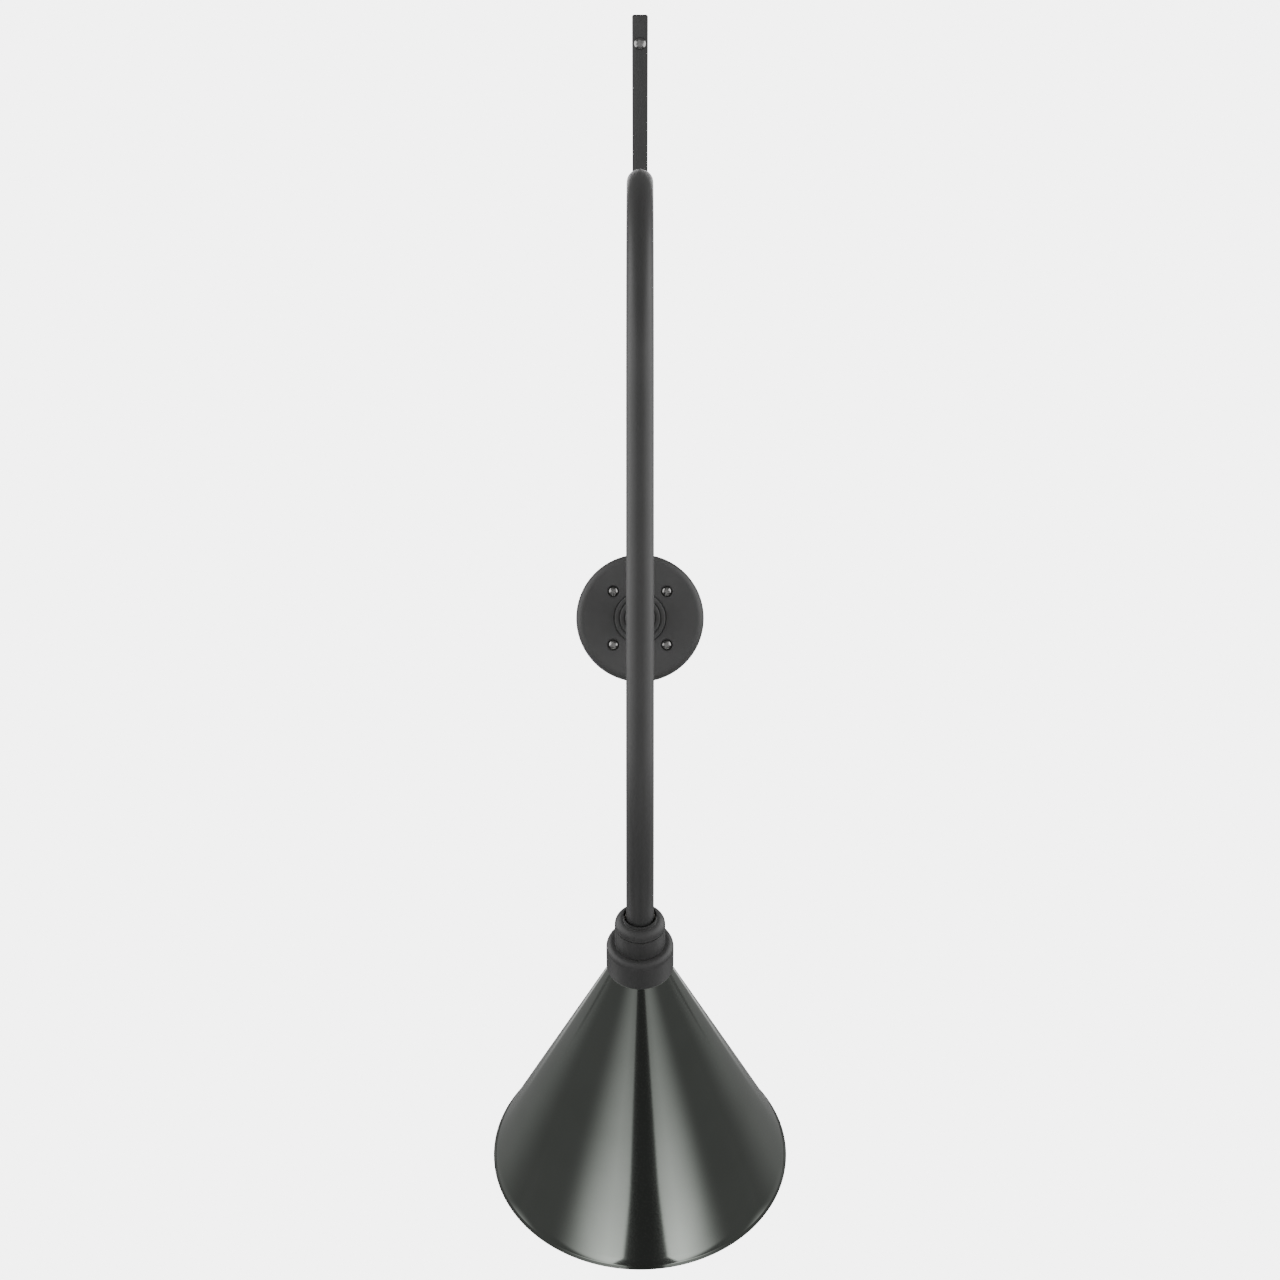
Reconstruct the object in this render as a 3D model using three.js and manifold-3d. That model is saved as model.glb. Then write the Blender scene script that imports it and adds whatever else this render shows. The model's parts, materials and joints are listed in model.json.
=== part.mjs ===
// Swing arm wall sconce: a round wall plate and a flat rail on the wall, a bent tube that swings on a
// hidden mast, and a conical shade on a ball swivel. Millimetres. +Z is up, the wall is the plane y = 0,
// the lamp stands in front of it towards -Y, and the origin is the middle of the wall plate's back.
import * as THREE from 'three';
import { mergeVertices } from 'three/addons/utils/BufferGeometryUtils.js';
import Module from 'manifold-3d';

const wasm = await Module();
wasm.setup();

// ---------- driving dimensions ----------
const GAP = 0.3;                     // clearance between pieces that touch

const PLATE_R = 63.5;                // 5 in wall plate
const PLATE_DEPTH = 17;
const PLATE_FACE_INSIDE = 13;        // depth of the plate's inner face
const PLATE_RIM_WALL = 3;
const PLATE_RIM_ROUND = 8;
const RING_RADII = [25.5, 20.3, 15.2];
const RING_STEP = 2;
const SCREW_PITCH = 53;              // side of the square of four plate screws
const COUNTERBORE_R = 5.9;
const COUNTERBORE_FLOOR = 14.6;

const BACKING_W = 100;
const BACKING_H = 84;
const BACKING_T = 3;
const BACKING_CORNER_R = 20;
const BACKING_HOLE_R = 16;
const BOX_SCREW_X = 44.45;           // half of a 3.5 in box screw spacing
const GROUND_SCREW = [-34, -24];

const RAIL_W = 15.2;
const RAIL_TOP_W = 16;
const RAIL_T = 5;
const RAIL_BACK = BACKING_T + GAP;
const RAIL_FRONT = RAIL_BACK + RAIL_T;
const RAIL_BOTTOM = 17;
const RAIL_FLARE_FROM = 450;
const RAIL_TOP = 600;
const RAIL_SCREW_Z = 571;
const RAIL_BOLT_HEIGHTS = [24, 36];

const STEM_R = 11;
const SPIGOT_R = 8;
const SPIGOT_BACK = 4.5;
const WIRE_BORE_R = 4.2;
const SWING_DEPTH = 80;              // swing axis in front of the wall
const ELBOW_BOTTOM = -15;
const ELBOW_TOP = 22;
const MAST_SOCKET = 5;
const MAST_R = 8;
const MAST_TOP = 150;
const STOP_SCREW_Z = 90;
const STOP_HALF_ANGLE = 72;          // degrees of groove each side of rest: 55 of swing and the tip

const TUBE_R = 12.5;                 // 1 in tube
const TUBE_BORE_R = 10.5;
const TUBE_BOTTOM = 24;
const CROWN_Z = 195;                 // where the inner leg starts to bend
const BEND_R = 210;
const FRONT_LEG_BOTTOM = -121.2;
const HEAD_ANGLE = 45;               // the head points this far back from straight down
const LEAD_R = 2.2;

// Along the head's axis, measured from the hole that the tube goes through.
const BALL_AT = 15;
const BALL_R = 15.7;
const BALL_BORE_R = 7;
const LINER_IN_R = 16;
const LINER_OUT_R = 17;
const CAP_SEAT_R = 17.3;
const TUBE_END = 11.3;
const LIP_R = 15.15;
const LIP_HOLE_R = 14.35;
const LIP_AT = 0.5;
const NECK_R = 23;
const NECK_BORE_R = 19.5;
const NECK_AT = 13.8;
const CAP_SPIGOT_R = 20.9;
const CAP_END = 13;
const CUP_AT = 37;
const CUP_END = 69;
const CUP_R = 30.7;
const CUP_ROUND = 6;
const SHADE_TOP_AT = 57.9;
const SHADE_END = 342;
const SHADE_R_AT_CUP = 26.3;
const SHADE_RIM_R = 139.5;           // 11 in shade
const SHADE_WALL = 1.1;
const RIM_BEAD_R = 1.7;

// ---------- materials ----------
const finish = (color, roughness, metalness) =>
  new THREE.MeshStandardMaterial({ color, roughness, metalness });
const blackCoat = () => finish(0x2b2b2b, 0.55, 0.3);
const gunmetal = () => finish(0x3c403a, 0.16, 0.9);
const darkSteel = () => finish(0x1c1c1c, 0.45, 0.6);
const steel = () => finish(0x9a9a98, 0.35, 0.95);
const brass = () => finish(0xb8964a, 0.3, 0.95);
const nylon = () => finish(0xd8d4c8, 0.5, 0);
const phenolic = () => finish(0x1a1917, 0.4, 0);
const leadSheath = () => finish(0x202020, 0.6, 0);
const opal = () => finish(0xf1efe8, 0.3, 0);

// ---------- geometry helpers ----------
// One closed surface with shared vertices, no empty triangles, and its faces pointing out.
function clean(geometry) {
  geometry.deleteAttribute('normal');
  geometry.deleteAttribute('uv');
  const merged = mergeVertices(geometry, 1e-4);
  const position = merged.attributes.position;
  const corners = [0, 1, 2].map(() => new THREE.Vector3());
  const kept = [];
  let volume = 0;
  for (let i = 0; i < merged.index.count; i += 3) {
    const triangle = [0, 1, 2].map((k) => merged.index.getX(i + k));
    if (new Set(triangle).size < 3) continue;
    corners.forEach((corner, k) => corner.fromBufferAttribute(position, triangle[k]));
    volume += corners[0].dot(corners[1].clone().cross(corners[2]));
    kept.push(triangle);
  }
  if (volume < 0) kept.forEach((triangle) => triangle.reverse());
  merged.setIndex(kept.flat());
  return merged;
}

function toSolid(geometry) {
  const closed = clean(geometry.clone());
  const vertProperties = new Float32Array(closed.attributes.position.array);
  const triVerts = new Uint32Array(closed.index.array);
  return new wasm.Manifold(new wasm.Mesh({ numProp: 3, vertProperties, triVerts }));
}

function fromSolid(solid) {
  const result = solid.getMesh();
  const geometry = new THREE.BufferGeometry();
  geometry.setAttribute('position', new THREE.BufferAttribute(new Float32Array(result.vertProperties), 3));
  geometry.setIndex(Array.from(result.triVerts));
  return geometry;
}

const cut = (base, ...tools) => fromSolid(tools.reduce((rest, tool) => rest.subtract(toSolid(tool)), toSolid(base)));
const join = (base, ...others) => fromSolid(others.reduce((sum, other) => sum.add(toSolid(other)), toSolid(base)));

// A turned piece on the +Z axis, from [radius, height] pairs.
function turned(profile, segments = 20) {
  const outline = profile.map(([radius, height]) => new THREE.Vector2(radius, height));
  const onAxis = profile[0][0] === 0 && profile.at(-1)[0] === 0;
  if (!onAxis) outline.push(outline[0].clone());
  return clean(new THREE.LatheGeometry(outline, segments).rotateX(Math.PI / 2));
}

// Points on an arc in [radius, height] terms, angles in degrees from the +radius direction.
function arc(centreR, centreH, radius, from, to, steps, heightRadius = radius) {
  return Array.from({ length: steps + 1 }, (_, i) => {
    const angle = THREE.MathUtils.degToRad(from + ((to - from) * i) / steps);
    return [centreR + radius * Math.cos(angle), centreH + heightRadius * Math.sin(angle)];
  });
}

const rod = (radius, from, to, segments = 16) => turned([[0, from], [radius, from], [radius, to], [0, to]], segments);

const tubeRing = (outer, inner, from, to, segments = 20) =>
  turned([[inner, from], [outer, from], [outer, to], [inner, to]], segments);

const block = (width, depth, height) => new THREE.BoxGeometry(width, depth, height);

function hexNut(cornerR, holeR, from, to) {
  const shape = new THREE.Shape();
  for (let i = 0; i < 6; i += 1) {
    const angle = (i * Math.PI) / 3;
    const point = [cornerR * Math.cos(angle), cornerR * Math.sin(angle)];
    if (i === 0) shape.moveTo(...point);
    else shape.lineTo(...point);
  }
  shape.holes.push(new THREE.Path().absarc(0, 0, holeR, 0, Math.PI * 2));
  return plateOf(shape, from, to, 10);
}

function plateOf(shape, from, to, curveSegments = 8) {
  const solid = new THREE.ExtrudeGeometry(shape, { depth: to - from, bevelEnabled: false, curveSegments });
  return clean(solid.translate(0, 0, from));
}

const roundHole = (x, y, radius) => new THREE.Path().absarc(x, y, radius, 0, Math.PI * 2);

// A screw on the +Z axis with a domed head and a cross recess: the shank runs from tip to seat.
function screw(headR, headH, shankR, tip, seat) {
  const body = turned([
    [0, tip], [shankR, tip], [shankR, seat], [headR, seat], [headR, seat + headH * 0.35],
    [headR * 0.86, seat + headH * 0.75], [0, seat + headH],
  ], 12);
  const slot = () => block(headR * 1.15, headR * 0.26, headH).translate(0, 0, seat + headH);
  return cut(body, slot(), slot().rotateZ(Math.PI / 2));
}

// ---------- scene graph ----------
const lamp = new THREE.Group();

// Wall frame: its +Z points out of the wall, its +Y is up.
const wall = new THREE.Group();
wall.rotation.x = Math.PI / 2;
lamp.add(wall);

const headTilt = THREE.MathUtils.degToRad(HEAD_ANGLE);
const frontLegY = -(SWING_DEPTH + 2 * BEND_R);
const headOrigin = new THREE.Vector3(
  0,
  frontLegY + BEND_R * (1 - Math.cos(headTilt)),
  FRONT_LEG_BOTTOM - BEND_R * Math.sin(headTilt),
);

// Head frame: its +Z runs along the head's axis, out of the tube and into the shade.
const head = new THREE.Group();
head.position.copy(headOrigin);
head.rotation.x = -Math.PI + headTilt;
lamp.add(head);

function add(parent, name, geometry, material, place = [0, 0, 0]) {
  const mesh = new THREE.Mesh(geometry, material);
  mesh.name = name;
  mesh.position.set(...place);
  parent.add(mesh);
}

// ---------- wall side ----------
function wallPlate() {
  const rimAt = PLATE_DEPTH - PLATE_RIM_ROUND;
  const insideR = PLATE_R - PLATE_RIM_WALL;
  const profile = [
    [insideR, 0], [PLATE_R, 0],
    ...arc(PLATE_R - PLATE_RIM_ROUND, rimAt, PLATE_RIM_ROUND, 0, 90, 3),
  ];
  RING_RADII.forEach((radius, i) => {
    profile.push([radius, PLATE_DEPTH + i * RING_STEP], [radius, PLATE_DEPTH + (i + 1) * RING_STEP]);
  });
  const hubTop = PLATE_DEPTH + RING_RADII.length * RING_STEP;
  const hubHole = SPIGOT_R + GAP;
  profile.push([hubHole, hubTop], [hubHole, PLATE_FACE_INSIDE]);
  profile.push([insideR - 5, PLATE_FACE_INSIDE], [insideR, PLATE_FACE_INSIDE - 5]);
  const notch = block(RAIL_W + 2.4, 12, RAIL_FRONT + GAP).translate(0, PLATE_R - 2, (RAIL_FRONT + GAP) / 2 - 0.01);
  const tools = [notch];
  for (const [x, y] of plateScrewPlaces()) {
    tools.push(rod(COUNTERBORE_R, COUNTERBORE_FLOOR, PLATE_DEPTH + 1, 16).translate(x, y, 0));
    tools.push(rod(2.8, PLATE_FACE_INSIDE - 1, PLATE_DEPTH, 12).translate(x, y, 0));
  }
  return cut(turned(profile, 44), ...tools);
}

function plateScrewPlaces() {
  const half = SCREW_PITCH / 2;
  return [[-half, half], [half, half], [-half, -half], [half, -half]];
}

function mountingPlate() {
  const halfW = BACKING_W / 2;
  const halfH = BACKING_H / 2;
  const r = BACKING_CORNER_R;
  const shape = new THREE.Shape();
  shape.absarc(halfW - r, halfH - r, r, 0, Math.PI / 2);
  shape.absarc(r - halfW, halfH - r, r, Math.PI / 2, Math.PI);
  shape.absarc(r - halfW, r - halfH, r, Math.PI, 1.5 * Math.PI);
  shape.absarc(halfW - r, r - halfH, r, 1.5 * Math.PI, 2 * Math.PI);
  shape.closePath();
  shape.holes.push(roundHole(0, 0, BACKING_HOLE_R));
  plateScrewPlaces().forEach(([x, y]) => shape.holes.push(roundHole(x, y, 2.7)));
  RAIL_BOLT_HEIGHTS.forEach((y) => shape.holes.push(roundHole(0, y, 2.5)));
  [-BOX_SCREW_X, BOX_SCREW_X].forEach((x) => shape.holes.push(roundHole(x, 0, 2.4)));
  shape.holes.push(roundHole(...GROUND_SCREW, 2.1));
  return plateOf(shape, 0, BACKING_T, 4);
}

function rail() {
  const chamfer = 1.5;
  const half = RAIL_W / 2;
  const topHalf = RAIL_TOP_W / 2;
  const shape = new THREE.Shape([
    [-half, RAIL_BOTTOM], [half, RAIL_BOTTOM], [half, RAIL_FLARE_FROM], [topHalf, RAIL_TOP - chamfer],
    [topHalf - chamfer, RAIL_TOP], [chamfer - topHalf, RAIL_TOP], [-topHalf, RAIL_TOP - chamfer],
    [-half, RAIL_FLARE_FROM],
  ].map(([x, y]) => new THREE.Vector2(x, y)));
  RAIL_BOLT_HEIGHTS.forEach((y) => shape.holes.push(roundHole(0, y, 2.5)));
  shape.holes.push(roundHole(0, RAIL_SCREW_Z, 2.8));
  return plateOf(shape, RAIL_BACK, RAIL_FRONT, 6);
}

// A stem out of the wall plate, a vertical barrel at its end, and wire passages through both.
function stemElbow() {
  const stemStart = PLATE_DEPTH + RING_RADII.length * RING_STEP + GAP;
  const stem = turned([
    [0, SPIGOT_BACK], [SPIGOT_R, SPIGOT_BACK], [SPIGOT_R, stemStart], [STEM_R, stemStart],
    [STEM_R, SWING_DEPTH], [0, SWING_DEPTH],
  ]);
  const upright = (geometry) => geometry.rotateX(-Math.PI / 2).translate(0, 0, SWING_DEPTH);
  const barrel = upright(turned([
    [0, ELBOW_BOTTOM], [TUBE_R - 4, ELBOW_BOTTOM], [TUBE_R, ELBOW_BOTTOM + 4], [TUBE_R, ELBOW_TOP], [0, ELBOW_TOP],
  ]));
  const across = rod(WIRE_BORE_R, SPIGOT_BACK - 1, SWING_DEPTH, 16);
  const socket = upright(rod(MAST_R + GAP, MAST_SOCKET, ELBOW_TOP + 1, 20));
  const wireWell = upright(rod(WIRE_BORE_R, -WIRE_BORE_R, MAST_SOCKET + 1, 16));
  return cut(join(stem, barrel), across, socket, wireWell);
}

// The post that the arm turns on. The groove takes the tip of the retaining screw and ends at the stops.
function mast() {
  const post = tubeRing(MAST_R, WIRE_BORE_R, MAST_SOCKET + GAP, MAST_TOP);
  const stop = THREE.MathUtils.degToRad(STOP_HALF_ANGLE);
  const wallSide = Math.PI / 2;
  const sector = new THREE.Shape();
  sector.absarc(0, 0, MAST_R + 2, wallSide - stop, wallSide + stop, false);
  sector.absarc(0, 0, MAST_R - 1.7, wallSide + stop, wallSide - stop, true);
  sector.closePath();
  return cut(post, plateOf(sector, STOP_SCREW_Z - 2.6, STOP_SCREW_Z + 2.6, 12));
}

const swingPlace = [0, -SWING_DEPTH, 0];

function addWallSide() {
  add(wall, 'wall_plate', wallPlate(), blackCoat());
  plateScrewPlaces().forEach(([x, y], i) => {
    add(wall, `plate_screw_${i + 1}`, screw(4.9, 2.6, 2.4, GAP, COUNTERBORE_FLOOR + GAP), steel(), [x, y, 0]);
  });
  add(wall, 'mounting_plate', mountingPlate(), steel());
  [-BOX_SCREW_X, BOX_SCREW_X].forEach((x, i) => {
    add(wall, `box_screw_${i + 1}`, screw(4.2, 2.4, 2.1, 0, BACKING_T + GAP), steel(), [x, 0, 0]);
  });
  add(wall, 'ground_screw', screw(3.8, 2.2, 1.8, GAP, BACKING_T + GAP), finish(0x2f6b3a, 0.4, 0.5), [...GROUND_SCREW, 0]);
  add(wall, 'rail', rail(), blackCoat());
  RAIL_BOLT_HEIGHTS.forEach((y, i) => {
    add(wall, `rail_bolt_${i + 1}`, screw(3.6, 2.4, 2.2, GAP, RAIL_FRONT + GAP), steel(), [0, y, 0]);
  });
  add(wall, 'rail_spacer', tubeRing(RAIL_TOP_W / 2 - 0.4, 2.8, 0, BACKING_T, 24), blackCoat(), [0, RAIL_SCREW_Z, 0]);
  add(wall, 'rail_screw', screw(6.1, 3, 2.4, 0, RAIL_FRONT + GAP), steel(), [0, RAIL_SCREW_Z, 0]);
  add(wall, 'stem_elbow', stemElbow(), blackCoat());
  add(wall, 'stem_nut', hexNut(12.5, SPIGOT_R + GAP, PLATE_FACE_INSIDE - GAP - 6.5, PLATE_FACE_INSIDE - GAP), brass());
  add(lamp, 'mast', mast(), steel(), swingPlace);
  add(lamp, 'thrust_washer', tubeRing(TUBE_R - 0.2, MAST_R + GAP, ELBOW_TOP + GAP, TUBE_BOTTOM - GAP), nylon(), swingPlace);
  add(lamp, 'supply_lead', supplyLead(), leadSheath());
}

// ---------- routes ----------
// A route in the plane x = 0 made of straight runs and arcs. Its stations are spaced by run, not by
// length: one step on a straight run and many on a bend.
class Route extends THREE.Curve {
  constructor(y, z, heading) {
    super();
    this.stations = [new THREE.Vector2(y, z)];
    this.headings = [heading];
  }

  get heading() {
    return this.headings.at(-1);
  }

  straight(length) {
    const angle = THREE.MathUtils.degToRad(this.heading);
    const step = new THREE.Vector2(Math.cos(angle), Math.sin(angle)).multiplyScalar(length);
    this.stations.push(this.stations.at(-1).clone().add(step));
    this.headings.push(this.heading);
    return this;
  }

  // Turns by an angle in degrees, positive anticlockwise as seen with +Y to the right and +Z up.
  bend(radius, turn, steps) {
    const side = Math.sign(turn) * radius;
    const start = THREE.MathUtils.degToRad(this.heading);
    const centre = new THREE.Vector2(-Math.sin(start), Math.cos(start)).multiplyScalar(side).add(this.stations.at(-1));
    for (let i = 1; i <= steps; i += 1) {
      const now = start + THREE.MathUtils.degToRad((turn * i) / steps);
      const spoke = new THREE.Vector2(Math.sin(now), -Math.cos(now)).multiplyScalar(side);
      this.stations.push(centre.clone().add(spoke));
      this.headings.push(THREE.MathUtils.radToDeg(now));
    }
    return this;
  }

  get steps() {
    return this.stations.length - 1;
  }

  getPoint(t, target = new THREE.Vector3()) {
    const place = Math.min(t, 1) * this.steps;
    const index = Math.min(Math.floor(place), this.steps - 1);
    const point = this.stations[index].clone().lerp(this.stations[index + 1], place - index);
    return target.set(0, point.x, point.y);
  }

  getTangent(t, target = new THREE.Vector3()) {
    const angle = THREE.MathUtils.degToRad(this.headings[Math.round(Math.min(t, 1) * this.steps)]);
    return target.set(0, Math.cos(angle), Math.sin(angle));
  }

  getUtoTmapping(u) {
    return u;
  }
}

function along(route, outer, inner, sides) {
  const section = new THREE.Shape().absarc(0, 0, outer, 0, Math.PI * 2);
  if (inner > 0) section.holes.push(roundHole(0, 0, inner));
  return clean(new THREE.ExtrudeGeometry(section, {
    steps: route.steps, extrudePath: route, curveSegments: sides / 2, bevelEnabled: false,
  }));
}

const UP = 90;

function supplyLead() {
  const corner = 8;
  const route = new Route(-GAP, 0, 180)
    .straight(SWING_DEPTH - corner - GAP)
    .bend(corner, -90, 5)
    .straight(TUBE_BOTTOM + 1 - corner);
  return along(route, LEAD_R, 0, 8);
}

function armRoute(bottom, end, crownSteps, lowerSteps) {
  return new Route(-SWING_DEPTH, bottom, UP)
    .straight(CROWN_Z - bottom)
    .bend(BEND_R, 180, crownSteps)
    .straight(CROWN_Z - FRONT_LEG_BOTTOM)
    .bend(BEND_R, HEAD_ANGLE, lowerSteps)
    .straight(end);
}

function armTube() {
  const tube = along(armRoute(TUBE_BOTTOM, TUBE_END, 22, 6), TUBE_R, TUBE_BORE_R, 22);
  const screwHole = rod(2.8, TUBE_BORE_R - 2, TUBE_R + 2, 14).rotateX(-Math.PI / 2);
  return cut(tube, screwHole.translate(0, -SWING_DEPTH, STOP_SCREW_Z));
}

function retainingScrew() {
  const tipAt = MAST_R - 1.7 + 0.5;
  const profile = [
    [0, tipAt], [2, tipAt], [2, TUBE_BORE_R - GAP], [2.5, TUBE_BORE_R - GAP], [2.5, TUBE_R + GAP],
    [4, TUBE_R + GAP], [4, TUBE_R + 1.8], [0, TUBE_R + 2],
  ];
  return turned(profile, 16).rotateX(-Math.PI / 2);
}

function addArm() {
  add(lamp, 'arm_tube', armTube(), blackCoat());
  add(lamp, 'arm_lead', along(armRoute(TUBE_BOTTOM + 2, BALL_AT + 7.5, 18, 5), LEAD_R, 0, 8), leadSheath());
  add(lamp, 'lower_bush', tubeRing(TUBE_BORE_R - GAP, MAST_R + GAP, TUBE_BOTTOM + GAP, 44), brass(), swingPlace);
  add(lamp, 'upper_bush', tubeRing(TUBE_BORE_R - GAP, MAST_R + GAP, 128, 146), brass(), swingPlace);
  add(lamp, 'retaining_screw', retainingScrew(), darkSteel(), [0, -SWING_DEPTH, STOP_SCREW_Z]);
  add(head, 'swivel_ball', swivelBall(), darkSteel());
}

// ---------- head ----------
const WEB_AT = 30;
const WEB_T = 3.5;
const NIPPLE_R = 5;
const NIPPLE_HOLE = NIPPLE_R + GAP;
const HOLDER_R = 20.5;
const SLEEVE_R = 17.5;
const HOLDER_SEAM = 52;
const degrees = THREE.MathUtils.radToDeg;

// Angles are from the +radius direction, so the pole on the tube's side is at -90 degrees.
function swivelBall() {
  const socketR = TUBE_R + GAP;
  const from = -degrees(Math.acos(socketR / BALL_R));
  const to = degrees(Math.acos(BALL_BORE_R / BALL_R));
  const socket = [[BALL_BORE_R, TUBE_END + GAP], [socketR, TUBE_END + GAP]];
  return turned([...socket, ...arc(0, BALL_AT, BALL_R, from, to, 9)], 24);
}

const swivelLiner = () => turned([
  ...arc(0, BALL_AT, LINER_OUT_R, -32, 10, 4), ...arc(0, BALL_AT, LINER_IN_R, 10, -32, 4),
], 24);

function swivelCap() {
  const holeAngle = -degrees(Math.acos(LIP_HOLE_R / CAP_SEAT_R));
  const spigotEnd = CAP_END + 7;
  return turned([
    [LIP_HOLE_R, LIP_AT], [LIP_R, LIP_AT],
    ...arc(LIP_R, CAP_END, NECK_R - LIP_R, -90, 0, 5),
    [CAP_SPIGOT_R, CAP_END], [CAP_SPIGOT_R, spigotEnd], [CAP_SEAT_R, spigotEnd],
    ...arc(0, BALL_AT, CAP_SEAT_R, 0, holeAngle, 5),
  ], 28);
}

const socketNeck = () => turned([
  [CAP_SPIGOT_R + GAP, NECK_AT], [NECK_R, NECK_AT], [NECK_R, CUP_AT - GAP], [NECK_BORE_R, CUP_AT - GAP],
  [NECK_BORE_R, WEB_AT + WEB_T], [NIPPLE_HOLE, WEB_AT + WEB_T], [NIPPLE_HOLE, WEB_AT], [NECK_BORE_R, WEB_AT],
  [NECK_BORE_R, CAP_END + 8], [CAP_SPIGOT_R + GAP, CAP_END + 8],
], 28);

function frictionSeat() {
  const from = degrees(Math.asin(6 / LINER_IN_R));
  const to = degrees(Math.asin(12 / LINER_IN_R));
  const outer = NECK_BORE_R - 0.4;
  return turned([[outer, BALL_AT + 12], [outer, BALL_AT + 6], ...arc(0, BALL_AT, LINER_IN_R, from, to, 4)], 20);
}

const discSpring = () => turned([[12, 27.3], [18.5, 28.6], [18.5, 29.6], [12, 28.3]], 20);

function shadeCup() {
  const wallR = CUP_R - 2;
  return turned([
    [NIPPLE_HOLE, CUP_AT], ...arc(CUP_R - CUP_ROUND, CUP_AT + CUP_ROUND, CUP_ROUND, -90, 0, 4),
    [CUP_R, CUP_END], [wallR, CUP_END], [wallR, CUP_AT + CUP_ROUND], [wallR - 3, CUP_AT + 3],
    [NIPPLE_HOLE, CUP_AT + 3],
  ], 32);
}

const holderCap = () => turned([
  [NIPPLE_HOLE, CUP_AT + 3 + GAP], [17, CUP_AT + 3 + GAP], [HOLDER_R, CUP_AT + 7], [HOLDER_R, HOLDER_SEAM],
  [HOLDER_R - 2, HOLDER_SEAM], [HOLDER_R - 2, CUP_AT + 6], [NIPPLE_HOLE, CUP_AT + 6],
]);

const holderBody = () => turned([
  [0, HOLDER_SEAM + GAP], [HOLDER_R, HOLDER_SEAM + GAP], [HOLDER_R, SHADE_TOP_AT - GAP],
  [SLEEVE_R, SHADE_TOP_AT - GAP], [SLEEVE_R, 92], [14.1, 92], [14.1, 60], [0, 60],
]);

const holderShell = () => turned([
  [6, 60 + GAP], [13.8, 60 + GAP], [13.8, 86], [13.3, 86], [13.3, 60.9], [6, 60.9],
]);

const shadeTaper = (SHADE_RIM_R - SHADE_R_AT_CUP) / (SHADE_END - CUP_END);
const shadeRadius = (at) => SHADE_R_AT_CUP + (at - CUP_END) * shadeTaper;

// A spun cone with a flat top flange and a rolled bead at the rim.
function shade() {
  const inset = SHADE_WALL * Math.hypot(1, shadeTaper);
  const beadAt = SHADE_END - RIM_BEAD_R;
  const beadR = SHADE_RIM_R - RIM_BEAD_R;
  const coneEnd = beadAt - RIM_BEAD_R;
  const flangeEnd = SHADE_TOP_AT + SHADE_WALL;
  const turn = degrees(Math.atan(shadeTaper));
  return turned([
    [SLEEVE_R + 0.4, SHADE_TOP_AT], [shadeRadius(SHADE_TOP_AT), SHADE_TOP_AT],
    [shadeRadius(coneEnd) - 0.2, coneEnd], ...arc(beadR, beadAt, RIM_BEAD_R, -turn, 180, 5),
    [shadeRadius(coneEnd) - inset - 0.2, coneEnd], [shadeRadius(flangeEnd) - inset, flangeEnd],
    [SLEEVE_R + 0.4, flangeEnd],
  ], 56);
}

const bulbCap = () => turned([
  [0, 62.5], [4.5, 62.5], [6, 64.5], [12.8, 67], [12.8, 88], [0, 88],
], 20);

// An opal envelope, open at its neck.
function bulbGlass() {
  const shell = (r) => [...arc(0, 138, r, 90, -28, 7), [r * 0.52, 106], [r * 0.44, 88 + GAP]];
  const outer = shell(30);
  const inner = shell(29).reverse();
  outer[0] = [0, 168];
  inner[inner.length - 1] = [0, 167];
  return turned([...outer, ...inner], 20);
}

function addHead() {
  add(head, 'swivel_liner', swivelLiner(), nylon());
  add(head, 'swivel_cap', swivelCap(), blackCoat());
  add(head, 'socket_neck', socketNeck(), blackCoat());
  add(head, 'friction_seat', frictionSeat(), nylon());
  add(head, 'disc_spring', discSpring(), steel());
  add(head, 'nipple', tubeRing(NIPPLE_R, 3.4, WEB_AT + 0.5, 50, 20), brass());
  add(head, 'nipple_nut', hexNut(8.5, NIPPLE_HOLE, CUP_AT + 6 + GAP, CUP_AT + 10), brass());
  add(head, 'head_lead', rod(LEAD_R, BALL_AT + 8.3, HOLDER_SEAM - GAP, 10), leadSheath());
  add(head, 'shade_cup', shadeCup(), blackCoat());
  add(head, 'holder_cap', holderCap(), phenolic());
  add(head, 'holder_body', holderBody(), phenolic());
  [-11, 11].forEach((x, i) => {
    add(head, `terminal_screw_${i + 1}`, rod(2.4, HOLDER_SEAM - 3, HOLDER_SEAM, 12), brass(), [x, 0, 0]);
  });
  add(head, 'holder_shell', holderShell(), brass());
  add(head, 'holder_contact', turned([[0, 60.3], [4, 60.3], [4, 61.4], [0, 62]], 16), brass());
  add(head, 'shade_ring', tubeRing(20.3, SLEEVE_R + GAP, SHADE_TOP_AT + SHADE_WALL + GAP, 65), steel());
  add(head, 'shade', shade(), gunmetal());
  add(head, 'bulb_cap', bulbCap(), steel());
  add(head, 'bulb_glass', bulbGlass(), opal());
}

addWallSide();
addArm();
addHead();

export default lamp;
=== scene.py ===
import json
import math

import bmesh
import bpy
from mathutils import Matrix, Vector


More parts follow.
